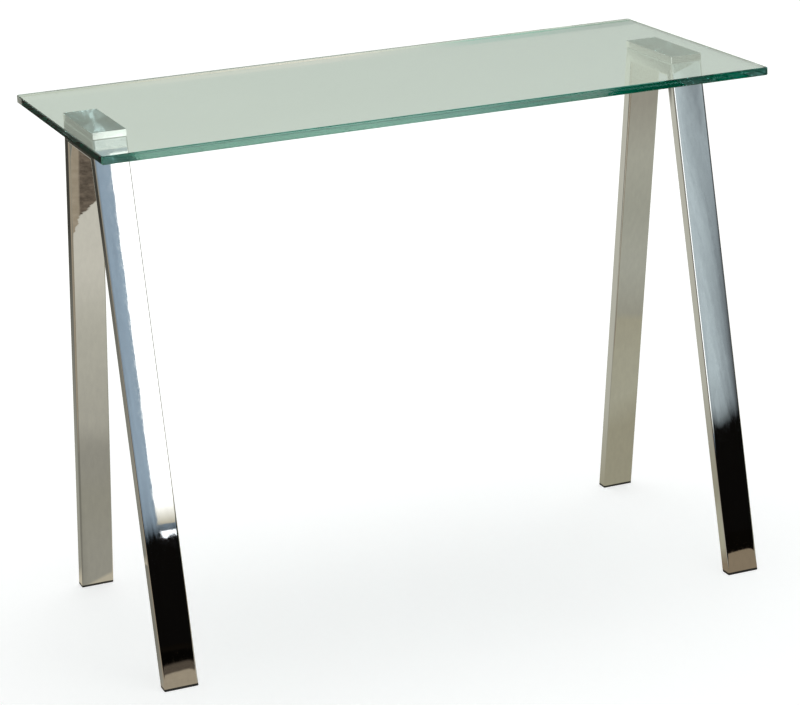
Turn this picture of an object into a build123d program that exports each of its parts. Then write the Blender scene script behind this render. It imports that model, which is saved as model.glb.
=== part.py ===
from build123d import *

import os
from math import atan2, cos, degrees, sin

# Console table: a plate-glass top on two chromed tube trestles.
# Origin: on the floor, under the middle of the top. +X runs along the table to
# the right, +Y goes to the back and +Z goes up. All dimensions are millimetres.

# ---- driving dimensions ----------------------------------------------------

table_length = 1000
table_depth = 460
table_height = 777

glass_thickness = 12
glass_corner_radius = 3
glass_arris = 1.2

# Aluminium pads, bonded under the glass, with blind tapped holes underneath.
pad_width = 50
pad_length = 152
pad_thickness = 10
pad_arris = 0.5
tapped_hole_depth = 8

gasket_thickness = 1
gasket_inset = 1

# Rectangular steel tube that all three members of a trestle are cut from.
tube_width = 50
tube_depth = 20
tube_wall = 1.5
tube_corner_radius = 2

trestle_centre = 446
trestle_top_half_depth = 76
trestle_foot_half_depth = 228

# Push-in plastic end caps, which the table stands on.
cap_flange = 3.5
cap_edge_radius = 0.6
cap_insert_length = 18
cap_insert_clearance = 0.8
cap_insert_wall = 2.2
cap_fin_clearance = 0.1
cap_fin_thickness = 1.2
cap_fin_pitch = 5
cap_fin_count = 3

# M8 button-head screws with plain washers, two in each trestle.
bolt_spacing = 80
bolt_radius = 3.95
bolt_length = 30
bolt_head_radius = 7
bolt_head_height = 4.4
bolt_crown_radius = 3.6
bolt_socket_across_flats = 5
bolt_socket_depth = 2.6
thread_radius = 4
washer_radius = 8
washer_thickness = 1.6
clearance_radius = 4.5
sleeve_radius = 7

# ---- derived dimensions ----------------------------------------------------

glass_underside = table_height - glass_thickness
pad_underside = glass_underside - pad_thickness
frame_top = pad_underside - gasket_thickness
crossbar_underside = frame_top - tube_depth
washer_underside = crossbar_underside - washer_thickness
tube_bore_width = tube_width - 2 * tube_wall
tube_bore_depth = tube_depth - 2 * tube_wall
tube_bore_radius = tube_corner_radius - tube_wall

# The legs lean out by this angle from the vertical.
splay = atan2(trestle_foot_half_depth - trestle_top_half_depth, frame_top)

trestles = {"left": -trestle_centre, "right": trestle_centre}
legs = {"front": -1, "rear": 1}


# ---- reference planes ------------------------------------------------------


def leg_plane(trestle_x, side):
    """Square across a leg where its centre line meets the floor, normal going up the leg."""
    centre_y = trestle_foot_half_depth - tube_depth / 2 / cos(splay)
    return Plane(
        origin=(trestle_x, side * centre_y, 0),
        x_dir=(1, 0, 0),
        z_dir=(0, -side * sin(splay), cos(splay)),
    )


def mitre_plane(side):
    """Halves the corner between crossbar and leg, normal pointing to the leg."""
    return Plane(
        origin=(0, side * trestle_top_half_depth, frame_top),
        x_dir=(1, 0, 0),
        z_dir=(0, side * (1 + sin(splay)), -cos(splay)),
    )


def bolt_places(trestle_x, height):
    """Where a trestle's two screws cross the given height."""
    return Locations(
        (trestle_x, -bolt_spacing / 2, height),
        (trestle_x, bolt_spacing / 2, height),
    )


def write(name, part):
    part.label = name
    export_step(part, f"parts/{name}.step")


# ---- sub-parts -------------------------------------------------------------


def make_glass_top():
    """Flat-polished plate with a narrow arris round both faces and eased corners."""
    with BuildPart() as glass_top:
        with BuildSketch(Plane.XY.offset(glass_underside)):
            RectangleRounded(table_length, table_depth, glass_corner_radius)
        extrude(amount=glass_thickness)
        rims = glass_top.edges().group_by(Axis.Z)
        chamfer(rims[0] + rims[-1], length=glass_arris)
    return glass_top.part


def make_glass_pad(trestle_x):
    """Aluminium block, with its tapped holes closed towards the glass."""
    with BuildPart() as glass_pad:
        with BuildSketch(Plane.XY.offset(pad_underside)):
            with Locations((trestle_x, 0)):
                Rectangle(pad_width, pad_length)
        extrude(amount=pad_thickness)
        chamfer(glass_pad.edges().filter_by(Axis.Z), length=pad_arris)
        with BuildSketch(Plane.XY.offset(pad_underside)):
            with Locations((trestle_x, 0)):
                with GridLocations(0, bolt_spacing, 1, 2):
                    Circle(thread_radius)
        extrude(amount=tapped_hole_depth, mode=Mode.SUBTRACT)
    return glass_pad.part


def make_pad_gasket(trestle_x):
    """Thin strip that keeps the pad off the chrome, just inside the pad's outline."""
    with BuildPart() as pad_gasket:
        with BuildSketch(Plane.XY.offset(frame_top)):
            with Locations((trestle_x, 0)):
                Rectangle(pad_width - 2 * gasket_inset, pad_length - 2 * gasket_inset)
                with GridLocations(0, bolt_spacing, 1, 2):
                    Circle(clearance_radius, mode=Mode.SUBTRACT)
        extrude(amount=gasket_thickness)
    return pad_gasket.part


def make_crossbar_tube(trestle_x):
    """Level tube under the pad, mitred at both ends and drilled for the screws."""
    reach = trestle_top_half_depth + tube_depth
    middle = Plane(
        origin=(trestle_x, 0, frame_top - tube_depth / 2),
        x_dir=(1, 0, 0),
        z_dir=(0, 1, 0),
    )
    with BuildPart() as crossbar_tube:
        with BuildSketch(middle):
            RectangleRounded(tube_width, tube_depth, tube_corner_radius)
            RectangleRounded(
                tube_bore_width, tube_bore_depth, tube_bore_radius, mode=Mode.SUBTRACT
            )
        extrude(amount=reach, both=True)
        for side in legs.values():
            split(bisect_by=mitre_plane(side), keep=Keep.BOTTOM)
        with bolt_places(trestle_x, frame_top):
            Hole(clearance_radius, depth=tube_depth)
    return crossbar_tube.part


def make_leg_tube(trestle_x, side):
    """Leaning tube, mitred to the crossbar and cut level just above the floor."""
    with BuildPart() as leg_tube:
        with BuildSketch(leg_plane(trestle_x, side)):
            RectangleRounded(tube_width, tube_depth, tube_corner_radius)
            RectangleRounded(
                tube_bore_width, tube_bore_depth, tube_bore_radius, mode=Mode.SUBTRACT
            )
        extrude(amount=table_height)
        split(bisect_by=mitre_plane(side), keep=Keep.TOP)
        split(bisect_by=Plane.XY.offset(cap_flange), keep=Keep.TOP)
    return leg_tube.part


def make_foot_cap(trestle_x, side):
    """End cap: a flange that shows under the leg and a finned, hollow insert in it."""
    across_leg = leg_plane(trestle_x, side)
    insert_start = cap_flange / cos(splay)
    insert_width = tube_bore_width - 2 * cap_insert_clearance
    insert_depth = tube_bore_depth - 2 * cap_insert_clearance
    with BuildPart() as foot_cap:
        # The insert is cut level inside the flange's height, so that they join.
        with BuildSketch(across_leg):
            Rectangle(insert_width, insert_depth)
        extrude(amount=insert_start + cap_insert_length)
        for fin in range(cap_fin_count):
            with BuildSketch(across_leg.offset(insert_start + cap_fin_pitch * (fin + 1))):
                RectangleRounded(
                    tube_bore_width - 2 * cap_fin_clearance,
                    tube_bore_depth - 2 * cap_fin_clearance,
                    tube_bore_radius,
                )
            extrude(amount=cap_fin_thickness)
        split(bisect_by=Plane.XY.offset(cap_flange / 2), keep=Keep.TOP)
        with BuildSketch(across_leg.offset(insert_start + cap_insert_wall)):
            Rectangle(
                insert_width - 2 * cap_insert_wall,
                insert_depth - 2 * cap_insert_wall,
            )
        extrude(amount=cap_insert_length, mode=Mode.SUBTRACT)
        add(make_cap_flange(across_leg))
    return foot_cap.part


def make_cap_flange(across_leg):
    """The slice of the leg's outline between the floor and the end of the tube."""
    with BuildPart() as flange:
        with BuildSketch(across_leg):
            RectangleRounded(tube_width, tube_depth, tube_corner_radius)
        extrude(amount=tube_depth, both=True)
        split(bisect_by=Plane.XY, keep=Keep.TOP)
        split(bisect_by=Plane.XY.offset(cap_flange), keep=Keep.BOTTOM)
        fillet(flange.faces().sort_by(Axis.Z)[0].edges(), radius=cap_edge_radius)
    return flange.part


def make_crossbar_sleeves(trestle_x):
    """Spacer sleeves between the tube's walls, so that the screws can't crush it."""
    with BuildPart() as sleeves:
        with BuildSketch(Plane.XY.offset(crossbar_underside + tube_wall)):
            with Locations((trestle_x, 0)):
                with GridLocations(0, bolt_spacing, 1, 2):
                    Circle(sleeve_radius)
                    Circle(clearance_radius, mode=Mode.SUBTRACT)
        extrude(amount=tube_bore_depth)
    return sleeves.part


def make_pad_washers(trestle_x):
    """Plain washers between the screw heads and the crossbar's underside."""
    with BuildPart() as washers:
        with BuildSketch(Plane.XY.offset(washer_underside)):
            with Locations((trestle_x, 0)):
                with GridLocations(0, bolt_spacing, 1, 2):
                    Circle(washer_radius)
                    Circle(clearance_radius, mode=Mode.SUBTRACT)
        extrude(amount=washer_thickness)
    return washers.part


def make_bolt():
    """One button-head screw standing on its crown, its seat at the origin."""
    with BuildPart() as bolt:
        with BuildSketch(Plane.XZ):
            with BuildLine():
                Polyline(
                    (0, -bolt_head_height),
                    (0, bolt_length),
                    (bolt_radius, bolt_length),
                    (bolt_radius, 0),
                    (bolt_head_radius, 0),
                )
                RadiusArc(
                    (bolt_head_radius, 0),
                    (bolt_crown_radius, -bolt_head_height),
                    bolt_head_radius,
                )
                Line((bolt_crown_radius, -bolt_head_height), (0, -bolt_head_height))
            make_face()
        revolve(axis=Axis.Z)
        chamfer(bolt.edges().sort_by(Axis.Z)[-1], length=bolt_radius / 5)
        with BuildSketch(Plane.XY.offset(-bolt_head_height)):
            RegularPolygon(bolt_socket_across_flats / 2, 6, major_radius=False)
        extrude(amount=bolt_socket_depth, mode=Mode.SUBTRACT)
    return bolt.part


def make_pad_bolts(trestle_x):
    """The two screws that come up through the crossbar into the pad."""
    screw = make_bolt()
    with BuildPart() as pad_bolts:
        with bolt_places(trestle_x, washer_underside):
            add(screw)
    return pad_bolts.part


# ---- the whole table -------------------------------------------------------

os.makedirs("parts", exist_ok=True)

write("glass_top", make_glass_top())

for end, trestle_x in trestles.items():
    write(f"{end}_glass_pad", make_glass_pad(trestle_x))
    write(f"{end}_pad_gasket", make_pad_gasket(trestle_x))
    write(f"{end}_crossbar_tube", make_crossbar_tube(trestle_x))
    write(f"{end}_crossbar_sleeves", make_crossbar_sleeves(trestle_x))
    write(f"{end}_pad_washers", make_pad_washers(trestle_x))
    write(f"{end}_pad_bolts", make_pad_bolts(trestle_x))
    for place, side in legs.items():
        write(f"{end}_{place}_leg_tube", make_leg_tube(trestle_x, side))
        write(f"{end}_{place}_foot_cap", make_foot_cap(trestle_x, side))

print("leg splay, degrees:", round(degrees(splay), 2))
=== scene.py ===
import math

import bmesh
import bpy
from mathutils import Euler, Matrix, Vector


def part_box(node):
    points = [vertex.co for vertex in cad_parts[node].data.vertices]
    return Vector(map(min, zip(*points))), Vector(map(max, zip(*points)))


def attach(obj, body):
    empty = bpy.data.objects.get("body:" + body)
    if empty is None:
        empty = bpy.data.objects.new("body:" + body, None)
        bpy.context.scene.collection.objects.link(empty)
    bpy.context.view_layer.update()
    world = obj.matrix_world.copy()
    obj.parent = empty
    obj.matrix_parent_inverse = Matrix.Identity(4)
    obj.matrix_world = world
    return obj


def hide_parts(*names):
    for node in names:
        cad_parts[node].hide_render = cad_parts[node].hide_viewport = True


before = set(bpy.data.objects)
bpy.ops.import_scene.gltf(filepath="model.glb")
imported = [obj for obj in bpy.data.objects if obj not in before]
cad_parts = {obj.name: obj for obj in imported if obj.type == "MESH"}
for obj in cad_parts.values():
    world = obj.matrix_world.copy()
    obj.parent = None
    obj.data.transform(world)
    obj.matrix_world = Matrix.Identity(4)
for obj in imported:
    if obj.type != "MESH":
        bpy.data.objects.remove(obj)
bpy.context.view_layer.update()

# A console table: a plate-glass top bonded to aluminium pads on two chromed trestles.
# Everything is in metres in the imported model's frame: +X along the top, front towards -Y, +Z up.
mm = 0.001

# The camera stands to the left, well back and a little above the top, and its lens is shifted.
camera_place = (-1.4102, -3.7139, 1.6093)
camera_azimuth = 21.658
camera_down = 15.831
camera_roll = -2.744
camera_lens = 124.8
camera_film = 36
camera_shift = (-0.05, -0.10)
camera_reach = 100

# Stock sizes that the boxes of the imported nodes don't give, and the share of a bevel's inset
# by which the radius of a slab's corner shrinks.
tube_wall = 1.5 * mm
tube_corner = 2.0 * mm
glass_corner = 3.0 * mm
glass_arris = 1.2 * mm
glass_contact = 0.03 * mm
pad_corner = 0.5 * mm
pad_edge = 0.25 * mm
corner_shrink = 0.6
groove_depth = 0.004 * mm

# How far a drawn tube's skin lies inside the true flats: at its middle, near its foot and by its twist.
# Each leg has its own phase, so that no two are dished alike.
skin_bow = 0.018 * mm
bow_swing = 0.8
bow_rate = 8.0
skin_pinch = 0.22 * mm
pinch_tilt = 0.4
pinch_length = 0.028
skin_twist = 0.03 * mm
twist_rate = 5.0
side_phase = 1.7
end_phase = 2.9

# Mesh fineness, and how near a point has to be to a flat to lie on it.
leg_stations = 48
flat_tolerance = 0.01 * mm
facing_up = 0.9

# How far the polishing lines on a tube are drawn out along it.
polish_stretch = 0.012

# The stage: its floors, its white surround, and the sheets that the chrome and the glass mirror.
floor_reach = 14
surround_radius = 0.98 * floor_reach
mirrored_floor_height = -2 * mm
wall_y = -3.5
wall_reach = 6
wall_height = 3.2
screen_y = -1.5
lamp_height = 2.6
lamp_slant = 0.32
glow_y = 0.25
glow_reach = 0.8
glow_low = 0.758
glow_high = 0.788

trestles = ("left", "right")
legs = ("front", "rear")


# ---------------------------------------------------------------- node helpers

def new_material(name):
    """An empty node material with a Principled shader: the tree's nodes and links, and the shader."""
    material = bpy.data.materials.new(name)
    material.use_nodes = True
    tree = material.node_tree
    return material, tree.nodes, tree.links, tree.nodes["Principled BSDF"]


def add(nodes, kind, **settings):
    """A node of a kind, with its properties set."""
    node = nodes.new(kind)
    for name, value in settings.items():
        setattr(node, name, value)
    return node


def place(nodes, links, scale=(1, 1, 1), turn_x=0.0, centre=(0, 0, 0)):
    """Coordinates in the row frame about a centre, turned about X and then scaled."""
    coordinates = add(nodes, "ShaderNodeTexCoord")
    moved = add(nodes, "ShaderNodeVectorMath", operation="SUBTRACT")
    moved.inputs[1].default_value = centre
    turned = add(nodes, "ShaderNodeMapping")
    turned.inputs["Rotation"].default_value = (turn_x, 0, 0)
    scaled = add(nodes, "ShaderNodeMapping")
    scaled.inputs["Scale"].default_value = scale
    links.new(coordinates.outputs["Object"], moved.inputs[0])
    links.new(moved.outputs[0], turned.inputs["Vector"])
    links.new(turned.outputs[0], scaled.inputs["Vector"])
    return scaled.outputs[0]


def axis(nodes, links, vector, name):
    """One component of a vector."""
    node = add(nodes, "ShaderNodeSeparateXYZ")
    links.new(vector, node.inputs[0])
    return node.outputs[name]


def grey(value):
    """A neutral colour."""
    return (value, value, value)


def noise(nodes, links, vector, scale, detail=2.0, roughness=0.5):
    """A noise value from 0 to 1 over a vector."""
    node = add(nodes, "ShaderNodeTexNoise")
    node.inputs["Scale"].default_value = scale
    node.inputs["Detail"].default_value = detail
    node.inputs["Roughness"].default_value = roughness
    links.new(vector, node.inputs["Vector"])
    return node.outputs["Fac"]


def spread(nodes, links, value, low, high, out_low, out_high):
    """A value stretched from one range to another, and held inside it."""
    node = add(nodes, "ShaderNodeMapRange")
    limits = {"From Min": low, "From Max": high, "To Min": out_low, "To Max": out_high}
    for name, number in limits.items():
        node.inputs[name].default_value = number
    links.new(value, node.inputs["Value"])
    return node.outputs["Result"]


def maths(nodes, links, operation, first, second):
    """A Math node on two inputs, each a socket or a number."""
    node = add(nodes, "ShaderNodeMath", operation=operation)
    for index, value in enumerate((first, second)):
        if isinstance(value, (int, float)):
            node.inputs[index].default_value = value
        else:
            links.new(value, node.inputs[index])
    return node.outputs[0]


def product(nodes, links, first, *others):
    """The product of masks."""
    for other in others:
        first = maths(nodes, links, "MULTIPLY", first, other)
    return first


def colours(nodes, links, value, stops, smooth=False):
    """A colour ramp along a value in its own units, from (value, colour) stops in rising order."""
    low, high = stops[0][0], stops[-1][0]
    node = add(nodes, "ShaderNodeValToRGB")
    node.color_ramp.interpolation = "EASE" if smooth else "LINEAR"
    elements = node.color_ramp.elements
    while len(elements) < len(stops):
        elements.new(0.5)
    for element, (position, colour) in zip(elements, stops):
        element.position = (position - low) / (high - low)
        element.color = (*colour, 1)
    links.new(spread(nodes, links, value, low, high, 0, 1), node.inputs["Fac"])
    return node.outputs["Color"]


def mix_colours(nodes, links, factor, first, second, blend="MIX"):
    """A colour mix; each colour is a socket or a colour."""
    node = add(nodes, "ShaderNodeMix", data_type="RGBA", blend_type=blend)
    factor_socket, first_socket, second_socket = node.inputs["Factor"], node.inputs[6], node.inputs[7]
    for socket, value in ((factor_socket, factor), (first_socket, first), (second_socket, second)):
        if isinstance(value, bpy.types.NodeSocket):
            links.new(value, socket)
        else:
            socket.default_value = value if socket.type == "VALUE" else (*value, 1)
    return node.outputs[2]


def bump(nodes, links, height, distance, under=None):
    """A bump whose height, from 0 to 1, stands for a distance in metres, over another bump if given."""
    node = add(nodes, "ShaderNodeBump")
    node.inputs["Strength"].default_value = 1
    node.inputs["Distance"].default_value = distance
    links.new(height, node.inputs["Height"])
    if under is not None:
        links.new(under, node.inputs["Normal"])
    return node.outputs["Normal"]


# ---------------------------------------------------------------- materials of the table

def make_glass_material():
    """Clear float glass, green through its depth, with smooth faces and finely ground edges."""
    material, nodes, links, shader = new_material("float_glass")
    shader.inputs["Base Color"].default_value = (0.93, 0.99, 0.95, 1)
    shader.inputs["Transmission Weight"].default_value = 1
    shader.inputs["IOR"].default_value = 1.52
    grit = noise(nodes, links, place(nodes, links, scale=(1, 1, 90)), 60, 3)
    geometry = add(nodes, "ShaderNodeNewGeometry")
    level = maths(nodes, links, "ABSOLUTE", axis(nodes, links, geometry.outputs["True Normal"], "Z"), 0)
    upright = spread(nodes, links, level, 0.9, 0.95, 1, 0)
    roller_wave = bump(nodes, links, noise(nodes, links, place(nodes, links), 5, 1), 0.02 * mm)
    grinding = bump(nodes, links, grit, 0.004 * mm, under=roller_wave)
    normal = add(nodes, "ShaderNodeMix", data_type="VECTOR")
    links.new(upright, normal.inputs["Factor"])
    links.new(roller_wave, normal.inputs[4])
    links.new(grinding, normal.inputs[5])
    links.new(normal.outputs[1], shader.inputs["Normal"])
    links.new(maths(nodes, links, "MULTIPLY", upright, 0.03), shader.inputs["Roughness"])
    absorption = add(nodes, "ShaderNodeVolumeAbsorption")
    absorption.inputs["Color"].default_value = (0.50, 0.76, 0.73, 1)
    absorption.inputs["Density"].default_value = 9.0
    links.new(absorption.outputs[0], nodes["Material Output"].inputs["Volume"])
    return material


def make_chrome_material(name, turn_x, stretch, haziness=1.0):
    """Polished chrome plate on tube: long faint polishing lines, a slight wave and hazy patches."""
    material, nodes, links, shader = new_material(name)
    shader.inputs["Metallic"].default_value = 1
    along_tube = place(nodes, links, stretch, turn_x)
    lines = noise(nodes, links, along_tube, 420, 3)
    broad = noise(nodes, links, along_tube, 90, 1)
    patches = noise(nodes, links, along_tube, 160, 4)
    base = colours(nodes, links, patches, [(0.3, (0.66, 0.665, 0.665)), (0.7, (0.70, 0.705, 0.70))])
    links.new(base, shader.inputs["Base Color"])
    haze = maths(nodes, links, "ADD", spread(nodes, links, lines, 0.35, 0.7, 0.008, 0.03 * haziness),
                 spread(nodes, links, patches, 0.5, 0.75, 0, 0.012 * haziness))
    links.new(haze, shader.inputs["Roughness"])
    wave = bump(nodes, links, broad, 0.005 * haziness * mm)
    links.new(bump(nodes, links, lines, 0.0004 * haziness * mm, under=wave), shader.inputs["Normal"])
    return material


def make_turned_material(name, centre):
    """Aluminium turned in fine rings about the pad's centre, so that light fans out across the rings."""
    material, nodes, links, shader = new_material(name)
    shader.inputs["Metallic"].default_value = 1
    shader.inputs["Anisotropic"].default_value = 1
    from_centre = place(nodes, links, (1, 1, 0), centre=centre)
    outward = add(nodes, "ShaderNodeVectorMath", operation="NORMALIZE")
    links.new(from_centre, outward.inputs[0])
    links.new(outward.outputs[0], shader.inputs["Tangent"])
    distance = add(nodes, "ShaderNodeVectorMath", operation="LENGTH")
    links.new(from_centre, distance.inputs[0])
    radius = add(nodes, "ShaderNodeCombineXYZ")
    links.new(distance.outputs["Value"], radius.inputs["X"])
    rings = noise(nodes, links, radius.outputs[0], 1700, 3, 0.7)
    links.new(colours(nodes, links, rings, [(0.3, (0.62, 0.66, 0.65)), (0.7, (0.72, 0.75, 0.74))]),
              shader.inputs["Base Color"])
    links.new(spread(nodes, links, rings, 0.3, 0.7, 0.26, 0.32), shader.inputs["Roughness"])
    links.new(bump(nodes, links, rings, groove_depth), shader.inputs["Normal"])
    return material


def make_pad_side_material():
    """Polished aluminium edge with long sawing lines and a little haze."""
    material, nodes, links, shader = new_material("polished_aluminium")
    shader.inputs["Metallic"].default_value = 1
    lines = noise(nodes, links, place(nodes, links, (0.05, 0.05, 1)), 1500, 3)
    grain = noise(nodes, links, place(nodes, links), 240, 3)
    links.new(colours(nodes, links, grain, [(0.3, (0.66, 0.665, 0.66)), (0.7, (0.72, 0.725, 0.72))]),
              shader.inputs["Base Color"])
    links.new(spread(nodes, links, lines, 0.3, 0.7, 0.06, 0.12), shader.inputs["Roughness"])
    links.new(bump(nodes, links, lines, 0.004 * mm), shader.inputs["Normal"])
    return material


def make_steel_material(name, tone, roughness):
    """Zinc-plated steel with a fine crystalline mottle and turning marks."""
    material, nodes, links, shader = new_material(name)
    shader.inputs["Metallic"].default_value = 1
    local = place(nodes, links)
    mottle = noise(nodes, links, local, 500, 4)
    marks = noise(nodes, links, place(nodes, links, (0.2, 0.2, 6)), 700, 2)
    pale = tuple(channel * 1.18 for channel in tone)
    links.new(colours(nodes, links, mottle, [(0.35, tone), (0.65, pale)]), shader.inputs["Base Color"])
    links.new(spread(nodes, links, mottle, 0.3, 0.7, roughness, roughness * 1.5),
              shader.inputs["Roughness"])
    links.new(bump(nodes, links, marks, 0.01 * mm), shader.inputs["Normal"])
    return material


def make_plastic_material():
    """Black moulded polyethylene with a fine spark-eroded grain and dusty scuffs."""
    material, nodes, links, shader = new_material("moulded_plastic")
    local = place(nodes, links)
    grain = noise(nodes, links, local, 1800, 3)
    scuffs = noise(nodes, links, local, 160, 5, 0.65)
    links.new(colours(nodes, links, scuffs, [(0.45, grey(0.003)), (0.8, (0.02, 0.019, 0.017))]),
              shader.inputs["Base Color"])
    links.new(spread(nodes, links, scuffs, 0.35, 0.7, 0.38, 0.6), shader.inputs["Roughness"])
    links.new(bump(nodes, links, grain, 0.03 * mm), shader.inputs["Normal"])
    return material


def make_rubber_material():
    """Dark grey sheet rubber with a matt, slightly mottled cut edge."""
    material, nodes, links, shader = new_material("sheet_rubber")
    local = place(nodes, links)
    mottle = noise(nodes, links, local, 900, 4)
    links.new(colours(nodes, links, mottle, [(0.35, (0.05, 0.052, 0.05)), (0.7, (0.10, 0.102, 0.10))]),
              shader.inputs["Base Color"])
    links.new(spread(nodes, links, mottle, 0.3, 0.7, 0.7, 0.85), shader.inputs["Roughness"])
    links.new(bump(nodes, links, mottle, 0.03 * mm), shader.inputs["Normal"])
    return material


# ---------------------------------------------------------------- meshes

def rounded_outline(width, depth, radius, arc_steps, width_steps, depth_steps):
    """A rounded rectangle about its centre, anticlockwise, its flats cut finer near the corners."""
    corners = ((1, 1, 0), (-1, 1, 90), (-1, -1, 180), (1, -1, 270))
    points = []
    for index, (side, end, start) in enumerate(corners):
        centre = Vector((side * (width / 2 - radius), end * (depth / 2 - radius)))
        for step in range(arc_steps + 1):
            angle = math.radians(start + 90 * step / arc_steps)
            points.append(centre + radius * Vector((math.cos(angle), math.sin(angle))))
        flat_steps = depth_steps if index % 2 else width_steps
        next_side, next_end, next_start = corners[(index + 1) % 4]
        next_centre = Vector((next_side * (width / 2 - radius), next_end * (depth / 2 - radius)))
        angle = math.radians(next_start)
        goal = next_centre + radius * Vector((math.cos(angle), math.sin(angle)))
        begin = points[-1]
        for step in range(1, flat_steps):
            share = (1 - math.cos(math.pi * step / flat_steps)) / 2
            points.append(begin.lerp(goal, share))
    return points


def mesh_from(name, build, sharp_angle=30):
    """A mesh made by a function on a bmesh, smooth apart from its sharp edges, with outward normals."""
    shape = bmesh.new()
    build(shape)
    bmesh.ops.recalc_face_normals(shape, faces=shape.faces)
    for face in shape.faces:
        face.smooth = True
    mesh = bpy.data.meshes.new(name)
    shape.to_mesh(mesh)
    shape.free()
    mesh.set_sharp_from_angle(angle=math.radians(sharp_angle))
    return mesh


def join_rings(shape, first, second):
    """A band of quads between two rings of the same count."""
    count = len(first)
    for index in range(count):
        following = (index + 1) % count
        shape.faces.new((first[index], first[following], second[following], second[index]))


def slab_mesh(name, low, high, radius, arc_steps, bevel):
    """An upright-sided slab on a rounded rectangle, bevelled at 45 degrees round its two faces."""
    centre = (low + high) / 2
    size = high - low
    levels = ((low.z, bevel), (low.z + bevel, 0), (high.z - bevel, 0), (high.z, bevel))

    def build(shape):
        rings = []
        for height, inset in levels:
            outline = rounded_outline(size.x - 2 * inset, size.y - 2 * inset, radius - inset * corner_shrink,
                                      arc_steps, width_steps=12, depth_steps=6)
            rings.append([shape.verts.new((centre.x + p.x, centre.y + p.y, height)) for p in outline])
        for below, above in zip(rings, rings[1:]):
            join_rings(shape, below, above)
        shape.faces.new(rings[0][::-1])
        shape.faces.new(rings[-1])
    return mesh_from(name, build)


def face_dish(across, along, phase):
    """How far the skin of a leg lies inside the true flat, from its drawing and the plug at its foot."""
    middle = 1 - across * across
    bow = skin_bow * middle * (1 + bow_swing * math.sin(bow_rate * along + phase))
    pinch = skin_pinch * (1 - pinch_tilt + pinch_tilt * across) * math.exp(-along / pinch_length)
    twist = skin_twist * across * math.sin(twist_rate * along + 2 * phase) * (1 - across ** 4)
    return bow + pinch * (1 - across ** 6) + twist


def leg_mesh(name, end_of_table, node, crossbar, phase):
    """A mitred rectangular tube, its outer skin slightly dished, from its mitre to its level foot."""
    low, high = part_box(node)
    bar_low, bar_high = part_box(crossbar)
    depth = bar_high.z - bar_low.z
    width = high.x - low.x
    at_front = end_of_table == "front"
    bar_end = bar_low.y if at_front else bar_high.y
    foot_out = low.y if at_front else high.y
    mitre_in = high.y if at_front else low.y
    top_corner = Vector(((low.x + high.x) / 2, bar_end, high.z))
    along = Vector((0, foot_out - bar_end, low.z - high.z)).normalized()
    towards = 1 if at_front else -1
    inward = Vector((0, -along.z * towards, along.y * towards))
    mitre = Vector((0, mitre_in - bar_end, bar_low.z - high.z))

    def line(point):
        """A point's line down the tube: its base, and how far along it the mitre and the foot are."""
        deep = depth / 2 - point.y
        base = top_corner + Vector((point.x, 0, 0)) + inward * deep
        down = along.y * mitre.z - along.z * mitre.y
        start = -deep * (inward.y * mitre.z - inward.z * mitre.y) / down
        end = (low.z - base.z) / along.z
        return base, start, end

    def flat_under(point):
        """The outward direction of the flat that a point of the outer skin is on, and its share of it."""
        if abs(point.y) > depth / 2 - flat_tolerance:
            share = point.x / (width / 2) / (1 - 2 * tube_corner / width)
            return inward * (-1 if point.y > 0 else 1), share
        if abs(point.x) > width / 2 - flat_tolerance:
            share = point.y / (depth / 2) / (1 - 2 * tube_corner / depth)
            return Vector((1 if point.x > 0 else -1, 0, 0)), share
        return None, 0

    def add_skin(shape, inset):
        """One skin of the tube; only the outer one is dished, and not at its mitre."""
        outline = rounded_outline(width - 2 * inset, depth - 2 * inset, tube_corner - inset,
                                  arc_steps=6, width_steps=10, depth_steps=6)
        rings = [[] for _ in range(leg_stations + 1)]
        for point in outline:
            base, start, end = line(point)
            out, share = flat_under(point) if inset == 0 else (None, 0)
            for station, ring in enumerate(rings):
                part = (1 - math.cos(math.pi * station / leg_stations)) / 2
                reach = start + (end - start) * part
                position = base + along * reach
                if out is not None and station > 0:
                    position -= out * face_dish(share, end - reach, phase)
                ring.append(shape.verts.new(position))
        for upper, lower in zip(rings, rings[1:]):
            join_rings(shape, upper, lower)
        return rings

    def build(shape):
        outer = add_skin(shape, 0)
        inner = add_skin(shape, tube_wall)
        join_rings(shape, outer[0], inner[0])
        join_rings(shape, outer[-1], inner[-1])
    return mesh_from(name, build, sharp_angle=35)


# ---------------------------------------------------------------- pieces

def add_piece(name, mesh, material, node):
    """A piece in the row frame that stands for one CAD node."""
    piece = bpy.data.objects.new(name, mesh)
    mesh.materials.append(material)
    bpy.context.scene.collection.objects.link(piece)
    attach(piece, "root")
    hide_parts(node)


def finish_node(node, material):
    """Gives a CAD node that keeps its shape a better material."""
    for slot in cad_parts[node].material_slots:
        slot.material = material


def make_top(material):
    """The glass top, its underside just into the pads, so that no air lies between them."""
    low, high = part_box("glass_top")
    low.z -= glass_contact
    mesh = slab_mesh("glass_plate", low, high, glass_corner, arc_steps=8, bevel=glass_arris)
    add_piece("glass_plate", mesh, material, "glass_top")


def make_legs(side, side_index, chromes):
    """A trestle's two dished legs."""
    for end_index, end in enumerate(legs):
        node = f"{side}_{end}_leg_tube"
        name = f"{side}_{end}_chrome_leg"
        phase = side_phase * side_index + end_phase * end_index
        mesh = leg_mesh(name, end, node, f"{side}_crossbar_tube", phase)
        add_piece(name, mesh, chromes[end], node)


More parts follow.
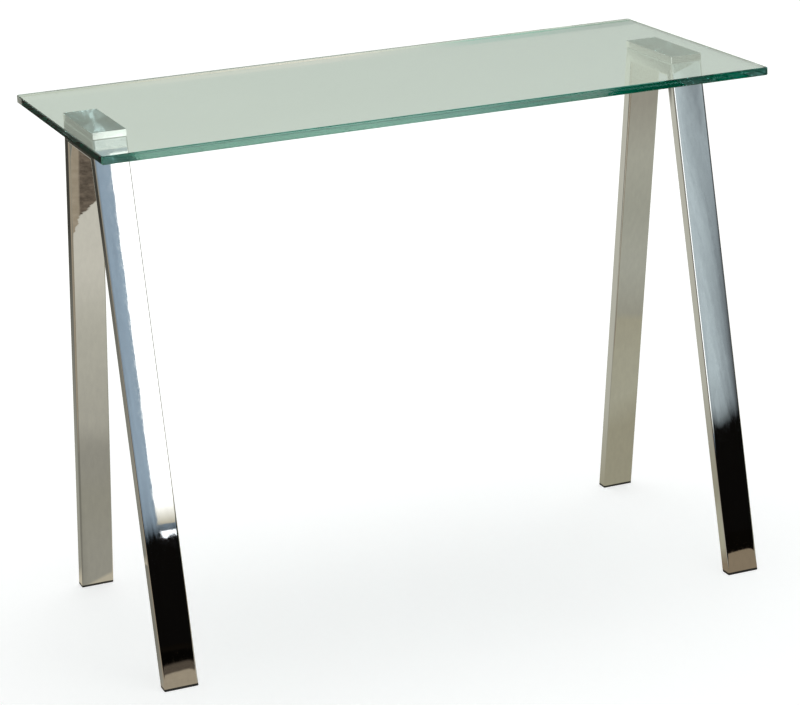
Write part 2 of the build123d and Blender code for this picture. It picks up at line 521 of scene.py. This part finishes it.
def make_pad(side, pad_side):
    """A pad with a turned face upwards and polished sides."""
    pad_node = f"{side}_glass_pad"
    low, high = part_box(pad_node)
    name = f"{side}_turned_pad"
    pad_mesh = slab_mesh(name, low, high, pad_corner, arc_steps=3, bevel=pad_edge)
    turned = make_turned_material(f"{side}_turned_aluminium", (low + high) / 2)
    add_piece(name, pad_mesh, turned, pad_node)
    pad_mesh.materials.append(pad_side)
    for face in pad_mesh.polygons:
        face.material_index = 0 if face.normal.z > facing_up else 1


# ---------------------------------------------------------------- studio

def seen_only_by(thing, camera=False, glossy=False, transmission=False, diffuse=False, shadow=False):
    """Sets which rays meet a thing of the studio."""
    thing.visible_camera = camera
    thing.visible_glossy = glossy
    thing.visible_transmission = transmission
    thing.visible_diffuse = diffuse
    thing.visible_shadow = shadow
    thing.visible_volume_scatter = False


def stage_sheet(name, corners, material):
    """A flat sheet of the studio."""
    mesh = bpy.data.meshes.new(name)
    mesh.from_pydata(corners, [], [tuple(range(len(corners)))])
    mesh.materials.append(material)
    sheet = bpy.data.objects.new(name, mesh)
    bpy.context.scene.collection.objects.link(sheet)
    return sheet


def glowing_material(name, make_colour):
    """A material that only gives light, its colour made from row-frame coordinates by a function."""
    material, nodes, links, shader = new_material(name)
    nodes.remove(shader)
    glow = add(nodes, "ShaderNodeEmission")
    coordinates = add(nodes, "ShaderNodeTexCoord")
    links.new(make_colour(nodes, links, coordinates.outputs["Object"]), glow.inputs["Color"])
    links.new(glow.outputs[0], nodes["Material Output"].inputs["Surface"])
    return material


def far_wall_colour(nodes, links, room):
    """The wall behind the camera: grey-blue in upright streaks, dark near the floor, pale high up."""
    across, height = axis(nodes, links, room, "X"), axis(nodes, links, room, "Z")
    streaks = noise(nodes, links, place(nodes, links, (1, 1, 0.02)), 80, 3)
    upright = maths(nodes, links, "SUBTRACT", across, maths(nodes, links, "MULTIPLY", height, 0.1))
    shift = maths(nodes, links, "ADD", upright, spread(nodes, links, streaks, 0.3, 0.7, -0.012, 0.012))
    wall = colours(nodes, links, shift, [
        (-6.0, (0.20, 0.22, 0.25)), (-1.0, (0.36, 0.42, 0.47)), (0.10, (0.30, 0.40, 0.50)),
        (0.42, (0.42, 0.54, 0.65)), (1.93, (0.60, 0.69, 0.72)), (2.008, (0.78, 0.88, 0.91)),
        (2.020, (0.50, 0.60, 0.64)), (2.029, (0.56, 0.66, 0.70)), (2.044, (0.28, 0.34, 0.37)),
        (2.060, (0.34, 0.40, 0.43)), (2.078, (0.11, 0.12, 0.13)), (6.0, (0.10, 0.11, 0.12))])
    wisps = noise(nodes, links, place(nodes, links, (1, 1, 0.015)), 170, 2)
    wisp_shades = colours(nodes, links, wisps, [(0.3, grey(0.86)), (0.7, grey(1.12))])
    wall = mix_colours(nodes, links, 1.0, wall, wisp_shades, "MULTIPLY")
    brushed = noise(nodes, links, place(nodes, links, (1, 1, 0)), 60, 2)
    shadow_line = maths(nodes, links, "ADD", height, spread(nodes, links, brushed, 0.3, 0.7, -0.02, 0.02))
    lean = spread(nodes, links, across, 2.03, 2.09, 0.015, -0.02)
    fade = colours(nodes, links, maths(nodes, links, "ADD", shadow_line, lean), [
        (0.30, grey(0)), (0.33, grey(0.50)), (0.36, grey(0.80)), (0.46, grey(1))])
    wall = mix_colours(nodes, links, 1.0, wall, fade, "MULTIPLY")
    wall = mix_colours(nodes, links, 1.0, wall, (0.004, 0.0035, 0.003), "ADD")
    high_up = spread(nodes, links, height, 1.32, 1.42, 0, 1)
    return mix_colours(nodes, links, high_up, wall, (0.60, 0.66, 0.57))


def screen_colour(nodes, links, room):
    """A white light screen, warm and much dimmer along its lower edge."""
    return colours(nodes, links, axis(nodes, links, room, "Z"), [
        (0.262, (0.55, 0.50, 0.36)), (0.285, (1.2, 1.17, 1.05)), (0.32, (2.4, 2.4, 2.35))])


def low_lamp_colour(nodes, links, room):
    """A small lamp low in front of the table."""
    return colours(nodes, links, axis(nodes, links, room, "Z"), [
        (0.235, (1.6, 1.7, 1.8)), (0.256, (2.2, 2.3, 2.4))])


def lamp_colour(nodes, links, room):
    """Cool tubes overhead, on a slant, seen as thin and broad fans of light on the turned pads."""
    across, away = axis(nodes, links, room, "X"), axis(nodes, links, room, "Y")
    slant = maths(nodes, links, "SUBTRACT", across, maths(nodes, links, "MULTIPLY", away, lamp_slant))
    return colours(nodes, links, slant, [
        (-1.30, (1.2, 1.4, 1.4)), (-0.72, (1.5, 1.7, 1.7)), (-0.66, (0.5, 0.6, 0.6)),
        (-0.40, (0.6, 0.7, 0.7)), (-0.38, (12, 14, 15)), (-0.34, (12, 14, 15)),
        (-0.32, (0.6, 0.7, 0.7)), (-0.22, (0.9, 1.0, 1.0)), (-0.18, (1.8, 2.1, 2.1)),
        (-0.12, (1.8, 2.1, 2.1)), (-0.06, (0.3, 0.35, 0.35))])


def glow_behind_colour(nodes, links, room):
    """What light that runs through the glass meets behind it: bright in the middle, green on the right."""
    return colours(nodes, links, axis(nodes, links, room, "X"), [
        (-0.8, (0.68, 0.70, 0.60)), (-0.40, (0.70, 0.70, 0.59)), (-0.27, (0.95, 0.84, 0.71)),
        (0.0, (1.12, 0.92, 0.80)), (0.16, (0.66, 0.70, 0.62)), (0.24, (0.14, 0.50, 0.40)),
        (0.34, (0.0, 0.38, 0.26)), (0.45, (0.0, 0.16, 0.10)), (0.8, (0.0, 0.12, 0.07))])


def floor_through_glass_colour(nodes, links, room):
    """The floor as it shows through the glass: pale, greyer far behind on the right, dark far in front."""
    across, away = axis(nodes, links, room, "X"), axis(nodes, links, room, "Y")
    cloud = noise(nodes, links, room, 1.5, 2)
    plain = colours(nodes, links, cloud, [(0.3, (0.72, 0.73, 0.69)), (0.7, (0.76, 0.77, 0.73))])
    greyer = product(nodes, links, spread(nodes, links, across, 0.3, 2.2, 0, 1),
                     spread(nodes, links, away, 1.5, 2.7, 0, 1))
    plain = mix_colours(nodes, links, greyer, plain, (0.38, 0.39, 0.41))
    lit = spread(nodes, links, away, -3.1, -2.95, 0, 1)
    return mix_colours(nodes, links, lit, (0.13, 0.11, 0.10), plain)


def slanting(nodes, links, room, slope):
    """y + slope * x on the floor: how far a point lies behind a line that slants across it."""
    across, away = axis(nodes, links, room, "X"), axis(nodes, links, room, "Y")
    return maths(nodes, links, "ADD", away, maths(nodes, links, "MULTIPLY", across, slope))


def paper_colour(nodes, links, room):
    """Warm grey paper: tones that change with depth, painted darker under the table where the glass top's
    shadow falls; a deep painted shade behind; a painted patch of light at one foot.
    """
    across, away = axis(nodes, links, room, "X"), axis(nodes, links, room, "Y")
    cloud = noise(nodes, links, room, 2.2, 2)
    depth = maths(nodes, links, "ADD", away, spread(nodes, links, cloud, 0.3, 0.7, -0.05, 0.05))
    # Painted shade: the paper is painted darker under the table, where the glass top's shadow falls, and
    # lighter in front of it.
    on_left = colours(nodes, links, depth, [
        (-0.60, (0.75, 0.72, 0.62)), (-0.34, (0.58, 0.56, 0.47)), (-0.20, (0.52, 0.50, 0.42)),
        (-0.11, (0.385, 0.37, 0.31)), (0.02, (0.385, 0.37, 0.30)), (0.2, (0.40, 0.385, 0.32)),
        (0.7, (0.60, 0.59, 0.50)), (3.0, (0.66, 0.65, 0.56))], smooth=True)
    on_right = colours(nodes, links, depth, [
        (-0.84, (0.41, 0.39, 0.32)), (-0.67, (0.50, 0.495, 0.41)), (-0.5, (0.46, 0.46, 0.38)),
        (-0.35, (0.50, 0.50, 0.42)), (-0.18, (0.43, 0.42, 0.34)), (-0.15, (0.47, 0.445, 0.33)),
        (0.0, (0.50, 0.485, 0.37)), (0.06, (0.42, 0.395, 0.285)), (0.2, (0.42, 0.395, 0.285)),
        (0.6, (0.58, 0.57, 0.48)), (3.0, (0.60, 0.60, 0.52))])
    paper = mix_colours(nodes, links, spread(nodes, links, across, 0.0, 0.35, 0, 1), on_left, on_right)
    aside = maths(nodes, links, "ADD", across, maths(nodes, links, "MULTIPLY", away, 0.22))
    lit = maths(nodes, links, "MAXIMUM", spread(nodes, links, away, 0.2, 2.4, 0.62, 0.08),
                spread(nodes, links, aside, -0.50, -0.41, 0, 1))
    paper = mix_colours(nodes, links, lit, (0.01, 0.008, 0.004), paper)
    # A painted patch of light on the paper near one foot, in pale beige.
    painted_light_at_foot = product(
        nodes, links, spread(nodes, links, slanting(nodes, links, room, 0.42), 0.006, 0.012, 0, 1),
        spread(nodes, links, across, -0.30, -0.25, 1, 0), spread(nodes, links, away, 0.25, 0.30, 1, 0))
    return mix_colours(nodes, links, painted_light_at_foot, paper, (0.62, 0.56, 0.43))


def bare_floor_colour(nodes, links, room, fibre):
    """The floor that the paper leaves bare: boards on the left and a brown carpet, darker in front."""
    away = axis(nodes, links, room, "Y")
    boards = colours(nodes, links, fibre, [(0.35, (0.40, 0.335, 0.24)), (0.7, (0.47, 0.40, 0.30))])
    carpet = colours(nodes, links, fibre, [(0.35, (0.10, 0.08, 0.06)), (0.7, (0.25, 0.20, 0.15))])
    on_carpet = spread(nodes, links, slanting(nodes, links, room, 3.7), -1.497, -1.485, 0, 1)
    near = mix_colours(nodes, links, on_carpet, boards, carpet)
    in_front = mix_colours(nodes, links, 0.5, carpet, (0.05, 0.04, 0.03))
    return mix_colours(nodes, links, spread(nodes, links, away, -1.12, -1.02, 0, 1), in_front, near)


def paper_edge_mask(nodes, links, room):
    """Where the paper lies: behind a torn edge, and behind a second edge that stops further back."""
    away = axis(nodes, links, room, "Y")
    ragged = noise(nodes, links, room, 14, 4, 0.65)
    torn = maths(nodes, links, "ADD", slanting(nodes, links, room, 1.3),
                 spread(nodes, links, ragged, 0.3, 0.7, -0.018, 0.018))
    second = spread(nodes, links, slanting(nodes, links, room, 2.857), -1.349, -1.345, 0, 1)
    return product(nodes, links, spread(nodes, links, torn, -0.990, -0.986, 0, 1),
                   maths(nodes, links, "MAXIMUM", second, spread(nodes, links, away, -0.22, -0.18, 0, 1)))


def lit_floor_share(nodes, links, room):
    """How well the floor is lit: fully near the table, and hardly at all well in front of it."""
    across, away = axis(nodes, links, room, "X"), axis(nodes, links, room, "Y")
    share = add(nodes, "ShaderNodeMix", data_type="FLOAT")
    links.new(spread(nodes, links, across, 0.3, 0.5, 0, 1), share.inputs["Factor"])
    links.new(spread(nodes, links, away, -1.75, -1.55, 0.02, 1), share.inputs[2])
    links.new(spread(nodes, links, away, -1.46, -1.44, 0.01, 1), share.inputs[3])
    return share.outputs[0]


def room_floor_colour(nodes, links, room):
    """The floor as the table mirrors it: paper on a floor of boards and carpet, with painted brown shade on
    the paper at the right foot.
    """
    across, away = axis(nodes, links, room, "X"), axis(nodes, links, room, "Y")
    fibre = noise(nodes, links, room, 70, 4, 0.7)
    bare = bare_floor_colour(nodes, links, room, fibre)
    paper = paper_colour(nodes, links, room)
    floor = mix_colours(nodes, links, paper_edge_mask(nodes, links, room), bare, paper)
    # Painted shade: the paper near the right foot is painted brown as paper in shade, mottled by the fibre
    # noise.
    shaded_paper_brown = mix_colours(nodes, links, fibre, (0.28, 0.22, 0.145), (0.33, 0.26, 0.18))
    beyond = spread(nodes, links, slanting(nodes, links, room, 2.0), 0.84, 0.90, 0, 1)
    painted_shade_at_right_foot = product(nodes, links, spread(nodes, links, across, 0.20, 0.24, 0, 1),
                         maths(nodes, links, "SUBTRACT", 1, beyond),
                         spread(nodes, links, away, -0.18, -0.12, 1, 0))
    floor = mix_colours(nodes, links, painted_shade_at_right_foot, floor, shaded_paper_brown)
    return mix_colours(nodes, links, lit_floor_share(nodes, links, room), grey(0), floor)


def level_sheet(height, corners):
    """The corners of a level sheet at a height, from (x, y) pairs."""
    return [(x, y, height) for x, y in corners]


def upright_sheet(away, corners):
    """The corners of an upright sheet that faces the table's front or back, from (x, z) pairs."""
    return [(x, away, z) for x, z in corners]


def make_pale_floor(ground):
    """The floor that the camera sees, pale and a little shaded by the table."""
    pale, nodes, links, shader = new_material("pale_floor")
    speckle = noise(nodes, links, place(nodes, links), 90, 4)
    links.new(colours(nodes, links, speckle, [(0.3, grey(0.42)), (0.7, grey(0.46))]),
              shader.inputs["Base Color"])
    shader.inputs["Roughness"].default_value = 0.9
    shader.inputs["Specular IOR Level"].default_value = 0.0
    distance = add(nodes, "ShaderNodeVectorMath", operation="LENGTH")
    links.new(place(nodes, links), distance.inputs[0])
    spill = colours(nodes, links, distance.outputs["Value"], [
        (0.0, grey(0.72)), (0.9, grey(0.74)), (2.5, grey(0.95)), (8.0, grey(0.99))])
    links.new(spill, shader.inputs["Emission Color"])
    shader.inputs["Emission Strength"].default_value = 1
    floor = stage_sheet("pale_floor", level_sheet(0, ground), pale)
    seen_only_by(floor, camera=True, diffuse=True, shadow=True)


def make_mirrored_room(ground):
    """What the chrome and the glass mirror and what shows through the glass: plain glowing sheets."""
    low_floor = level_sheet(mirrored_floor_height, ground)
    wall = upright_sheet(wall_y, [
        (-wall_reach, 0), (wall_reach, 0), (wall_reach, wall_height), (-wall_reach, wall_height)])
    screen = upright_sheet(screen_y, [
        (-0.111, 0.265), (0.85, 0.265), (0.85, 0.97), (-0.080, 0.97), (-0.083, 0.9)])
    low_lamp = upright_sheet(screen_y, [
        (-0.109, 0.252), (-0.107, 0.240), (-0.102, 0.237), (-0.096, 0.245), (-0.084, 0.253),
        (-0.096, 0.252)])
    glow = upright_sheet(glow_y, [
        (-glow_reach, glow_low), (glow_reach, glow_low), (glow_reach, glow_high),
        (-glow_reach, glow_high)])
    lamps = level_sheet(lamp_height, [(-1.4, -0.4), (-1.1, 1.2), (0.3, 1.2), (-0.2, -0.4)])
    sheets = (
        ("room_floor", low_floor, room_floor_colour, {"glossy": True}),
        ("floor_through_glass", low_floor, floor_through_glass_colour, {"transmission": True}),
        ("far_wall", wall, far_wall_colour, {"glossy": True, "transmission": True}),
        ("light_screen", screen, screen_colour, {"glossy": True}),
        ("low_lamp", low_lamp, low_lamp_colour, {"glossy": True}),
        ("glow_behind", glow, glow_behind_colour, {"transmission": True}),
        ("cool_lamps", lamps, lamp_colour, {"transmission": True}))
    for name, corners, make_colour, rays in sheets:
        sheet = stage_sheet(name, corners, glowing_material(name, make_colour))
        seen_only_by(sheet, **rays)


def make_sky():
    """Soft light all round, brightest in a band above the horizon and dim far to the right."""
    world = bpy.data.worlds.new("soft_light")
    bpy.context.scene.world = world
    world.use_nodes = True
    nodes, links = world.node_tree.nodes, world.node_tree.links
    direction = add(nodes, "ShaderNodeTexCoord").outputs["Generated"]
    band = colours(nodes, links, axis(nodes, links, direction, "Z"), [
        (-0.1, (0.40, 0.42, 0.36)), (0.12, (0.80, 0.86, 0.74)), (0.30, (0.80, 0.86, 0.74)),
        (0.45, (0.30, 0.36, 0.35)), (1.0, (0.26, 0.31, 0.31))])
    side = colours(nodes, links, axis(nodes, links, direction, "X"), [
        (-1.0, grey(0.58)), (0.20, grey(0.58)), (0.46, grey(1)), (0.55, grey(1)),
        (0.72, grey(0.12)), (1.0, grey(0.12))])
    sky = mix_colours(nodes, links, 1.0, side, band, "MULTIPLY")
    links.new(sky, nodes["Background"].inputs["Color"])


def make_white_surround():
    """A white dome round everything, which only the camera sees."""
    surround = bpy.data.meshes.new("white_surround")
    shape = bmesh.new()
    bmesh.ops.create_icosphere(shape, subdivisions=3, radius=surround_radius)
    shape.to_mesh(surround)
    shape.free()
    white, _, _, shader = new_material("white_surround")
    shader.inputs["Base Color"].default_value = (0, 0, 0, 1)
    shader.inputs["Specular IOR Level"].default_value = 0
    shader.inputs["Emission Color"].default_value = (1, 1, 1, 1)
    shader.inputs["Emission Strength"].default_value = 1.05
    surround.materials.append(white)
    dome = bpy.data.objects.new("white_surround", surround)
    bpy.context.scene.collection.objects.link(dome)
    seen_only_by(dome, camera=True)


def add_soft_light(name, position, target, width, power):
    """A square soft light, unseen itself by the camera, by mirrored rays and by rays through the glass."""
    lamp = bpy.data.lights.new(name, "AREA")
    lamp.size = width
    lamp.energy = power
    light = bpy.data.objects.new(name, lamp)
    light.location = position
    light.rotation_euler = (Vector(target) - Vector(position)).to_track_quat("-Z", "Y").to_euler()
    bpy.context.scene.collection.objects.link(light)
    light.visible_camera = False
    light.visible_glossy = False
    light.visible_transmission = False


def make_studio():
    """A pale floor for the camera, what the chrome and glass see of the room, and soft light."""
    ground = [(-floor_reach, -floor_reach), (floor_reach, -floor_reach),
              (floor_reach, floor_reach), (-floor_reach, floor_reach)]
    make_pale_floor(ground)
    make_mirrored_room(ground)
    make_sky()
    make_white_surround()
    add_soft_light("overhead", position=(0.2, 0.3, 3.0), target=(0, 0, 0.5), width=2.4, power=60)


def make_camera():
    """The camera, aimed and rolled, with a long lens and a shift."""
    lens = bpy.data.cameras.new("camera")
    lens.sensor_width = camera_film
    lens.lens = camera_lens
    lens.shift_x, lens.shift_y = camera_shift
    lens.clip_end = camera_reach
    camera = bpy.data.objects.new("camera", lens)
    bpy.context.scene.collection.objects.link(camera)
    turn = Euler((math.radians(90 - camera_down), 0, math.radians(-camera_azimuth)), "XYZ")
    roll = Matrix.Rotation(math.radians(camera_roll), 4, "Z")
    camera.matrix_world = Matrix.Translation(camera_place) @ turn.to_matrix().to_4x4() @ roll
    bpy.context.scene.camera = camera


def set_light_paths():
    """Enough bounces for light that runs inside the glass from edge to edge, and plain tones."""
    scene = bpy.context.scene
    scene.cycles.max_bounces = 48
    scene.cycles.glossy_bounces = 48
    scene.cycles.transmission_bounces = 16
    scene.cycles.diffuse_bounces = 3
    scene.view_settings.view_transform = "Standard"


# ---------------------------------------------------------------- the table

leg_low, leg_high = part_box("left_front_leg_tube")
splay = math.atan2(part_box("left_crossbar_tube")[0].y - leg_low.y, leg_high.z - leg_low.z)
chromes = {
    "front": make_chrome_material("front_leg_chrome", -splay, (1, 1, polish_stretch)),
    "rear": make_chrome_material("rear_leg_chrome", splay, (1, 1, polish_stretch), haziness=0.35),
    "crossbar": make_chrome_material("crossbar_chrome", 0, (1, polish_stretch, 1)),
}
pad_side = make_pad_side_material()
plastic = make_plastic_material()
rubber = make_rubber_material()
steel = make_steel_material("zinc_plated_steel", (0.50, 0.50, 0.49), 0.25)
sleeve_steel = make_steel_material("cut_tube_steel", (0.42, 0.41, 0.40), 0.4)
node_finishes = {
    "front_foot_cap": plastic,
    "rear_foot_cap": plastic,
    "crossbar_tube": chromes["crossbar"],
    "pad_gasket": rubber,
    "pad_washers": steel,
    "pad_bolts": steel,
    "crossbar_sleeves": sleeve_steel,
}
make_top(make_glass_material())
for side_index, side in enumerate(trestles):
    make_legs(side, side_index, chromes)
    make_pad(side, pad_side)
    for part, material in node_finishes.items():
        finish_node(f"{side}_{part}", material)
make_studio()
make_camera()
set_light_paths()
